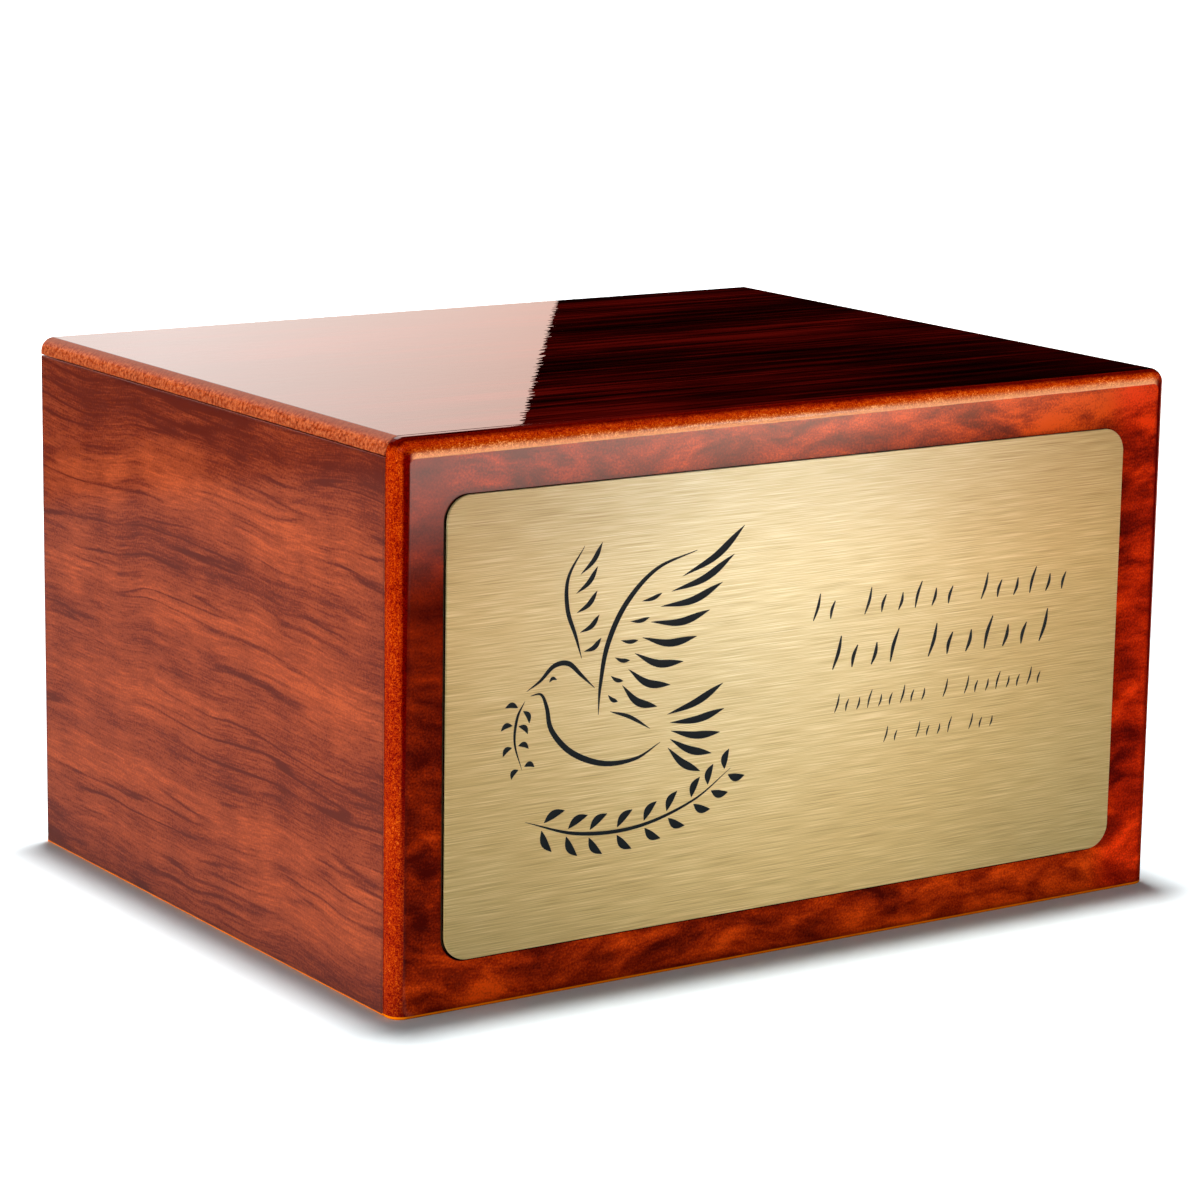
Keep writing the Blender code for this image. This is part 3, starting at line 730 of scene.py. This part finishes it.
def base_material():
    nodes = Nodes("bare_board")
    x, y, z = nodes.place()
    fibres = speckle(nodes, x, y, z, 900.0, 4.0, 0.7)
    patches = nodes.noise(nodes.vector(nodes.times(x, 30.0), nodes.times(y, 30.0), 0.0), 2.0)
    tone = nodes.sum(nodes.times(fibres, 0.7), nodes.times(patches, 0.3))
    nodes.set(
        Base_Color=nodes.colours(tone, (0.3, (0.13, 0.055, 0.022)), (0.7, (0.27, 0.13, 0.06))),
        Roughness=0.75,
        Normal=nodes.bump(fibres, 0.08 * MM, 0.6),
    )
    return nodes.material


def screw_material():
    nodes = Nodes("screw_steel")
    x, y, z = nodes.place()
    point = nodes.vector(nodes.times(x, 1200.0), nodes.times(y, 1200.0), nodes.times(z, 3000.0))
    stains = nodes.noise(point, 3.0, 0.6)
    nodes.set(
        Base_Color=nodes.colours(stains, (0.3, (0.34, 0.27, 0.15)), (0.7, (0.66, 0.58, 0.38))),
        Metallic=1.0,
        Roughness=nodes.line(stains, 0.3, 0.7, 0.25, 0.45),
    )
    return nodes.material


def floor_material():
    """A pale floor whose own glow grows further out, so that it ends in white."""
    nodes = Nodes("pale_floor")
    x, y, _ = nodes.place()
    cloud = nodes.noise(nodes.vector(nodes.times(x, 2.0), nodes.times(y, 2.0), 0.0), 2.0)
    reach = nodes.math("SQRT", nodes.sum(nodes.times(x, x), nodes.times(y, y)))
    nodes.set(
        Base_Color=nodes.colours(cloud, (0.3, (0.81, 0.87, 0.89)), (0.7, (0.83, 0.89, 0.91))),
        Roughness=0.9,
        Specular_IOR_Level=0.0,
        Emission_Color=(1.0, 1.0, 1.0),
        Emission_Strength=nodes.ramp(reach, 0.35, 1.2, 0.0, 1.0),
    )
    return nodes.material


# Mesh helpers
def box_mesh(low, high):
    low = Vector(low)
    high = Vector(high)
    bm = bmesh.new()
    matrix = Matrix.Translation((low + high) / 2) @ Matrix.Diagonal((*(high - low), 1.0))
    bmesh.ops.create_cube(bm, size=1.0, matrix=matrix)
    return bm


def edges_between(bm, *pairs):
    """The edges where the flat faces that look along the two directions of a pair meet."""
    found = []
    for edge in bm.edges:
        normals = [face.normal for face in edge.link_faces]
        for pair in pairs:
            if all(any(normal.dot(Vector(way)) > 0.999 for normal in normals) for way in pair):
                found.append(edge)
    return found


def rim(bm, way):
    """The edges round the flat faces that look one way."""
    faces = [face for face in bm.faces if face.normal.dot(Vector(way)) > 0.999]
    return list({edge for face in faces for edge in face.edges})


def round_off(bm, edges, radius, steps):
    bmesh.ops.bevel(bm, geom=edges, offset=radius, segments=steps, profile=0.5, affect="EDGES")
    bm.normal_update()


def new_object(name, bm, *materials):
    bmesh.ops.recalc_face_normals(bm, faces=bm.faces)
    mesh = bpy.data.meshes.new(name)
    bm.to_mesh(mesh)
    bm.free()
    for material in materials:
        mesh.materials.append(material)
    obj = bpy.data.objects.new(name, mesh)
    bpy.context.scene.collection.objects.link(obj)
    return obj


def combine(obj, other, operation, keep_materials=False):
    """Cuts or joins another mesh into an object, and removes the other."""
    modifier = obj.modifiers.new(operation, "BOOLEAN")
    modifier.operation = operation
    modifier.solver = "EXACT"
    modifier.object = other
    if keep_materials:
        modifier.material_mode = "TRANSFER"
    graph = bpy.context.evaluated_depsgraph_get()
    mesh = bpy.data.meshes.new_from_object(obj.evaluated_get(graph))
    obj.modifiers.remove(modifier)
    old = obj.data
    obj.data = mesh
    mesh.name = old.name + "_fine"
    bpy.data.meshes.remove(old)
    bpy.data.objects.remove(other)


def rebate(obj, low, high):
    """Cuts a box out of a board."""
    combine(obj, new_object("cutter", box_mesh(low, high)), "DIFFERENCE")


def smooth(obj):
    """Smooth shading that keeps sharp edges sharp and large faces flat."""
    obj.data.shade_smooth()
    obj.data.set_sharp_from_angle(angle=math.radians(30))
    weighted = obj.modifiers.new("weighted_normals", "WEIGHTED_NORMAL")
    weighted.keep_sharp = True


def outward(side):
    return (side, 0.0, 0.0)


def dress(obj, node):
    """Shades a piece, and has it ride the body and stand in for its solid."""
    smooth(obj)
    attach(obj, "root")
    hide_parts(node)


# Boards
def make_top():
    bm = box_mesh((-HALF_WIDTH, SEAM_Y, TOP_UNDERSIDE), (HALF_WIDTH, BACK_Y, HEIGHT))
    round_off(bm, edges_between(bm, (UP, outward(-1)), (UP, outward(1))), EDGE_RADIUS, EDGE_STEPS)
    round_off(bm, rim(bm, BACKWARD), ARRIS, ARRIS_STEPS)
    round_off(bm, rim(bm, FORWARD), SEAM_EASING, EASING_STEPS)
    top = new_object("top_board", bm, top_material())
    inner = INNER_X - CLEARANCE
    for side in (-1, 1):
        ends = sorted((side * inner, side * (HALF_WIDTH + OVERCUT)))
        low = (ends[0], SEAM_Y - OVERCUT, TOP_UNDERSIDE - OVERCUT)
        rebate(top, low, (ends[1], BACK_Y + OVERCUT, SEAM_Z + CLEARANCE))
    dress(top, "top_panel")


def make_side(name, node, side, seed):
    ends = sorted((side * INNER_X, side * HALF_WIDTH))
    bm = box_mesh((ends[0], SEAM_Y, 0.0), (ends[1], BACK_Y, SEAM_Z))
    round_off(bm, rim(bm, BACKWARD), ARRIS, ARRIS_STEPS)
    round_off(bm, edges_between(bm, (DOWN, outward(side))), ARRIS, ARRIS_STEPS)
    round_off(bm, edges_between(bm, (UP, outward(side))), SEAM_EASING, EASING_STEPS)
    round_off(bm, edges_between(bm, (FORWARD, outward(side))), SEAM_EASING, EASING_STEPS)
    board = new_object(name, bm, side_material(name, side, seed))
    ends = sorted((side * (INNER_X - OVERCUT), side * (HALF_WIDTH - BASE_LAP_X)))
    rebate(board, (ends[0], SEAM_Y - OVERCUT, -OVERCUT), (ends[1], BACK_Y - BASE_LAP_Y, BASE_ROOM))
    dress(board, node)


def make_front():
    bm = box_mesh((-HALF_WIDTH, FRONT_Y, 0.0), (HALF_WIDTH, FRONT_Y + FRONT_LAP, HEIGHT))
    rounded = [(FORWARD, UP), *((way, outward(side)) for way in (FORWARD, UP) for side in (-1, 1))]
    round_off(bm, edges_between(bm, *rounded), EDGE_RADIUS, EDGE_STEPS)
    round_off(bm, rim(bm, DOWN), ARRIS, ARRIS_STEPS)
    front = new_object("front_board", bm, front_material())
    inner = INNER_X - CLEARANCE
    low = (-inner, FRONT_Y + FRONT_LAP / 2, BASE_ROOM)
    middle = new_object("middle", box_mesh(low, (inner, FRONT_HIGH.y, TOP_UNDERSIDE - CLEARANCE)))
    combine(front, middle, "UNION")
    dress(front, "front_panel")


def make_back():
    bm = box_mesh((BACK_LOW.x, BACK_LOW.y, 0.0), (BACK_HIGH.x, BACK_Y, BACK_HIGH.z))
    round_off(bm, rim(bm, BACKWARD), SEAM_EASING, EASING_STEPS)
    back = new_object("back_board", bm, back_material())
    low = (BACK_LOW.x - OVERCUT, BACK_LOW.y - OVERCUT, -OVERCUT)
    rebate(back, low, (BACK_HIGH.x + OVERCUT, BACK_Y - BASE_LAP_Y, BASE_ROOM))
    dress(back, "back_panel")


# Engraved strokes
def mix(start, end, share):
    return start + (end - start) * share


def heading(degrees):
    return Vector((math.cos(math.radians(degrees)), math.sin(math.radians(degrees))))


def smooth_curve(points, steps):
    """Points along a smooth curve through the given ones."""
    points = [Vector(point) for point in points]
    points = [2 * points[0] - points[1], *points, 2 * points[-1] - points[-2]]
    spans = len(points) - 3
    curve = []
    for step in range(steps + 1):
        span = min(spans * step // steps, spans - 1)
        t = spans * step / steps - span
        a, b, c, d = points[span : span + 4]
        bend = (2 * a - 5 * b + 4 * c - d) * t**2 + (3 * b - a - 3 * c + d) * t**3
        curve.append(b + (c - a) * t / 2 + bend / 2)
    return curve


def stroke(points, width, peak, steps, tip):
    """The outline of a stroke along a curve, widest at its peak and narrow at its tips."""
    curve = smooth_curve(points, steps)
    left = []
    right = []
    for index, point in enumerate(curve):
        way = curve[min(index + 1, steps)] - curve[max(index - 1, 0)]
        share = index / steps
        rise = share / peak if share < peak else (1 - share) / (1 - peak)
        half_width = width / 2 * mix(tip, 1.0, math.sin(rise * math.pi / 2))
        across = Vector((-way.y, way.x)).normalized() * half_width
        left.append(point + across)
        right.append(point - across)
    return left + right[::-1]


def feather(root, degrees, length, width, bow, peak):
    """A short stroke from its root, bowed to its right."""
    way = heading(degrees)
    middle = root + way * length / 2 + Vector((way.y, -way.x)) * bow
    return stroke((root, middle, root + way * length), width, peak, SHORT_STROKE_STEPS, SHARP_TIP)


def fan(count, roots, degrees, lengths, width, bow):
    """Feathers with their roots along a curve, turning and growing from the first to the last."""
    for index, root in enumerate(smooth_curve(roots, count - 1)):
        share = index / (count - 1)
        yield feather(root, mix(*degrees, share), mix(*lengths, share), width, bow, FEATHER_PEAK)


def leaves(stem, pairs, start, end, length, width, spread, gap):
    """Pairs of leaves between two shares of a stem's length, each with a gap to it."""
    curve = smooth_curve(stem, STEM_STEPS)
    for index in range(pairs):
        share = index / (pairs - 1)
        place = round(STEM_STEPS * mix(start, end, share))
        size = length * mix(1.0, LAST_LEAF, share)
        way = curve[place + 1] - curve[place - 1]
        for side in (-1, 1):
            degrees = math.degrees(math.atan2(way.y, way.x)) + side * spread
            root = curve[place] + heading(degrees) * gap
            yield feather(root, degrees, size, width, -LEAF_BOW * side, LEAF_PEAK)


def motif_strokes():
    """A dove with a sprig over an olive branch, in the motif's own units."""
    yield stroke(CROWN, 1.7, 0.55, LONG_STROKE_STEPS, PEN_TIP)
    yield stroke(THROAT + BELLY, 2.0, 0.6, LONG_STROKE_STEPS, PEN_TIP)
    yield stroke(EYE, 1.2, MIDDLE_PEAK, SHORT_STROKE_STEPS, PEN_TIP)
    yield stroke(RUMP, 1.3, MIDDLE_PEAK, SHORT_STROKE_STEPS, PEN_TIP)
    yield stroke(WING_EDGE, 2.0, MIDDLE_PEAK, LONG_STROKE_STEPS, PEN_TIP)
    yield stroke(FAR_WING_EDGE, 1.6, MIDDLE_PEAK, LONG_STROKE_STEPS, PEN_TIP)
    yield from fan(8, FLIGHT_ROOTS, (-32, 31), (16, 28), width=2.6, bow=2.0)
    yield from fan(6, COVERT_ROOTS, (-34, 14), (4.6, 8), width=1.4, bow=0.5)
    yield from fan(5, FAR_ROOTS, (30, 50), (7.5, 12.5), width=1.8, bow=1.1)
    yield from fan(5, TAIL_ROOTS, (-36, 20), (16, 23), width=2.6, bow=1.2)
    yield stroke(SPRIG, 1.0, 0.4, LONG_STROKE_STEPS, PEN_TIP)
    yield from leaves(SPRIG, 4, 0.14, 0.95, length=4.8, width=1.8, spread=62, gap=1.3)
    yield stroke(BRANCH, 1.3, 0.35, LONG_STROKE_STEPS, PEN_TIP)
    yield from leaves(BRANCH, 9, 0.07, 0.95, length=8.4, width=2.7, spread=42, gap=1.9)


def row_strokes(start, end, height, groups):
    """The slanted strokes of a row, from its base line up."""
    places = sum(groups) + len(groups) - 1
    pitch = (end - start) / places
    place = 0
    for group in groups:
        for index in range(group):
            tall = height if index % TALL_EVERY == 0 else height * LOW_STROKE
            foot = Vector((start + place * pitch, 0.0))
            head = foot + Vector((STROKE_SLANT * tall, tall))
            bow = Vector((STROKE_BOW * height * (-1) ** index, 0.0))
            middle = foot.lerp(head, 0.5) + bow
            width = STROKE_WIDTH * height
            yield stroke((foot, middle, head), width, MIDDLE_PEAK, SHORT_STROKE_STEPS, BLUNT_TIP)
            place += 1
        place += 1


def engraved_outlines():
    """Every stroke's outline, measured along the plate's face from its lower left corner."""
    width = PLATE_HIGH.x - PLATE_LOW.x
    height = PLATE_HIGH.z - PLATE_LOW.z
    centre = Vector((MOTIF_CENTRE[0] * width, MOTIF_CENTRE[1] * height))
    for outline in motif_strokes():
        yield [centre + point * MOTIF_HEIGHT / 100 for point in outline]
    for start, end, base, tall, groups in ROWS:
        lift = Vector((0.0, base * height))
        for outline in row_strokes(start * width, end * width, tall * height, groups):
            yield [lift + point for point in outline]


def make_engraving():
    """One cutter with a shallow prism for every stroke."""
    left, front, bottom = PLATE_LOW
    bm = bmesh.new()
    for outline in engraved_outlines():
        floor = [bm.verts.new((left + x, front + ENGRAVING_DEPTH, bottom + z)) for x, z in outline]
        grown = bmesh.ops.extrude_face_region(bm, geom=[bm.faces.new(floor)])
        raised = [item for item in grown["geom"] if isinstance(item, bmesh.types.BMVert)]
        bmesh.ops.translate(bm, verts=raised, vec=(0.0, -ENGRAVING_DEPTH - OVERCUT, 0.0))
    return new_object("engraving", bm, engraving_material())


# Plate and floor
def make_plate():
    bm = box_mesh(PLATE_LOW, PLATE_HIGH)
    corners = [(way, outward(side)) for way in (UP, DOWN) for side in (-1, 1)]
    round_off(bm, edges_between(bm, *corners), PLATE_RADIUS, PLATE_CORNER_STEPS)
    round_off(bm, rim(bm, FORWARD), PLATE_CHAMFER, EASING_STEPS)
    plate = new_object("plate", bm, plate_material())
    combine(plate, make_engraving(), "DIFFERENCE", keep_materials=True)
    dress(plate, "name_plate")


def make_floor():
    bm = bmesh.new()
    bmesh.ops.create_grid(bm, x_segments=8, y_segments=8, size=14.0)
    floor = new_object("floor", bm, floor_material())
    floor.visible_glossy = False


# Camera, lights and cards
def aim(obj, target, roll=0.0):
    """Turns a camera or a light to face a target, and rolls it about its own view."""
    way = (Vector(target) - obj.location).to_track_quat("-Z", "Y")
    obj.rotation_euler = (way.to_matrix() @ Matrix.Rotation(math.radians(roll), 3, "Z")).to_euler()


def around(azimuth, elevation, distance, centre=(0.0, 0.0, 0.066)):
    """A point seen from the centre at an azimuth from -Y towards +X and an elevation."""
    turn = math.radians(azimuth)
    rise = math.radians(elevation)
    way = Vector((math.sin(turn) * math.cos(rise), -math.cos(turn) * math.cos(rise), math.sin(rise)))
    return Vector(centre) + way * distance


def make_camera():
    data = bpy.data.cameras.new("camera")
    data.lens = CAMERA_LENS
    data.clip_start = 0.01
    data.clip_end = 100.0
    camera = bpy.data.objects.new("camera", data)
    bpy.context.scene.collection.objects.link(camera)
    camera.location = around(CAMERA_AZIMUTH, CAMERA_ELEVATION, CAMERA_DISTANCE, CAMERA_TARGET)
    aim(camera, CAMERA_TARGET, CAMERA_ROLL)
    bpy.context.scene.camera = camera


def softbox(name, place, target, size, power, glossy=True):
    data = bpy.data.lights.new(name, "AREA")
    data.shape = "RECTANGLE"
    data.size, data.size_y = size
    data.energy = power
    light = bpy.data.objects.new(name, data)
    bpy.context.scene.collection.objects.link(light)
    light.location = place
    aim(light, target)
    light.visible_camera = False
    light.visible_glossy = glossy
    return light


def floor_glow(name, place, size, power, colour):
    """A light lying face up that shows only in the gloss of the sides."""
    light = softbox(name, place, (0.0, 0.0, 0.0), size, power)
    light.rotation_euler = (math.pi, 0.0, 0.0)
    light.data.color = colour
    light.visible_diffuse = False


def glow_card(nodes, matrix, low, high, colour, strength):
    """A card that shows only in gloss, with the glow its nodes give it."""
    bm = box_mesh((low[0], low[1], -0.001), (high[0], high[1], 0.0))
    nodes.set(
        Base_Color=(0.0, 0.0, 0.0),
        Specular_IOR_Level=0.0,
        Emission_Color=colour,
        Emission_Strength=strength,
    )
    card = new_object(nodes.material.name, bm, nodes.material)
    card.matrix_world = matrix
    card.visible_camera = False
    card.visible_diffuse = False
    card.visible_shadow = False
    card.visible_transmission = False


def make_back_card():
    """The white card behind the box on the left, whose right edge crosses the lacquer of the top."""
    mirrored = Vector(bpy.context.scene.camera.location)
    mirrored.z = 2 * HEIGHT - mirrored.z
    far = (Vector(CARD_EDGE_FAR) - mirrored).normalized()
    near = (Vector(CARD_EDGE_NEAR) - mirrored).normalized()
    facing = -(far + near).normalized()
    along = near - far
    along = (along - facing * along.dot(facing)).normalized()
    across = along.cross(facing)
    matrix = Matrix((across, along, facing)).transposed().to_4x4()
    matrix.translation = mirrored - facing * CARD_DISTANCE
    nodes = Nodes("back_card")
    x = nodes.place()[0]
    colour = nodes.colours(nodes.line(x, -CARD_FADE, 0.0, 0.0, 1.0), *CARD_STOPS)
    glow_card(nodes, matrix, (-2.6, -0.3), (0.0, 2.0), colour, CARD_GLOW)


def make_front_card():
    """The card on the floor in front, whose glow fades down and to the right in the front's lacquer."""
    eye = bpy.context.scene.camera.location
    nodes = Nodes("front_card")
    x, y, _ = nodes.place()
    ahead = nodes.math("SUBTRACT", 2 * FRONT_Y - eye.y, y)
    turn = nodes.math("DIVIDE", nodes.math("SUBTRACT", x, eye.x), ahead)
    colour = nodes.colours(turn, *FRONT_CARD_STOPS)
    reach = nodes.sum(nodes.times(y, -1.0), nodes.times(x, -0.36), 0.054)
    strength = nodes.ramp(reach, 0.47, 0.66, 0.0, FRONT_CARD_GLOW)
    glow_card(nodes, Matrix.Translation((0.0, 0.0, CARD_LIFT)), (0.0, -1.7), (1.6, -0.2), colour, strength)


def make_far_cards():
    """Cards round the box, and one on the floor behind and beside it, for the gloss in the other views."""
    for name, azimuth, width in FAR_CARDS:
        nodes = Nodes(name)
        y = nodes.place()[1]
        strength = nodes.ramp(y, -FAR_CARD_HALF_HEIGHT, FAR_CARD_HALF_HEIGHT, 0.3, 1.6)
        place = around(azimuth, FAR_CARD_ELEVATION, FAR_CARD_DISTANCE)
        facing = (Vector((0.0, 0.0, HEIGHT)) - place).to_track_quat("Z", "Y").to_matrix().to_4x4()
        matrix = Matrix.Translation(place) @ facing
        corner = (width / 2, FAR_CARD_HALF_HEIGHT)
        glow_card(nodes, matrix, (-corner[0], -corner[1]), corner, FAR_CARD_COLOUR, strength)
    nodes = Nodes("rear_floor_card")
    x, y, _ = nodes.place()
    past_x = nodes.math("MAXIMUM", nodes.math("SUBTRACT", x, HALF_WIDTH), 0.0)
    past_y = nodes.math("MAXIMUM", nodes.math("SUBTRACT", y, BACK_Y), 0.0)
    reach = nodes.math("SQRT", nodes.sum(nodes.times(past_x, past_x), nodes.times(past_y, past_y)))
    strength = nodes.ramp(reach, 0.12, 0.45, 0.0, REAR_CARD_GLOW)
    matrix = Matrix.Translation((0.0, 0.0, CARD_LIFT))
    glow_card(nodes, matrix, (-0.08, -0.05), (1.5, 1.6), REAR_CARD_COLOUR, strength)


def make_lights():
    middle = Vector((0.0, 0.0, HEIGHT / 2))
    for name, place, size, power, glossy in SOFTBOXES:
        softbox(name, around(*place), middle, size, power, glossy)
    floor_glow("low_left", LOW_GLOW_PLACE, LOW_GLOW_SIZE, LOW_GLOW_POWER, LOW_GLOW_COLOUR)
    world = bpy.data.worlds.new("studio")
    bpy.context.scene.world = world
    world.use_nodes = True
    background = world.node_tree.nodes["Background"]
    background.inputs["Color"].default_value = (1.0, 1.0, 1.0, 1.0)
    background.inputs["Strength"].default_value = AMBIENT
    world.cycles_visibility.glossy = False
    bpy.context.scene.view_settings.view_transform = "Standard"


# The scene
make_camera()
make_lights()
make_back_card()
make_front_card()
make_far_cards()
make_floor()
make_top()
make_side("left_board", "left_side", -1, 3.0)
make_side("right_board", "right_side", 1, 41.0)
make_front()
make_back()
make_plate()
for name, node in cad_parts.items():
    if name == "base_panel":
        node.data.materials.clear()
        node.data.materials.append(base_material())
    elif name.startswith("base_screw"):
        node.data.materials.clear()
        node.data.materials.append(screw_material())
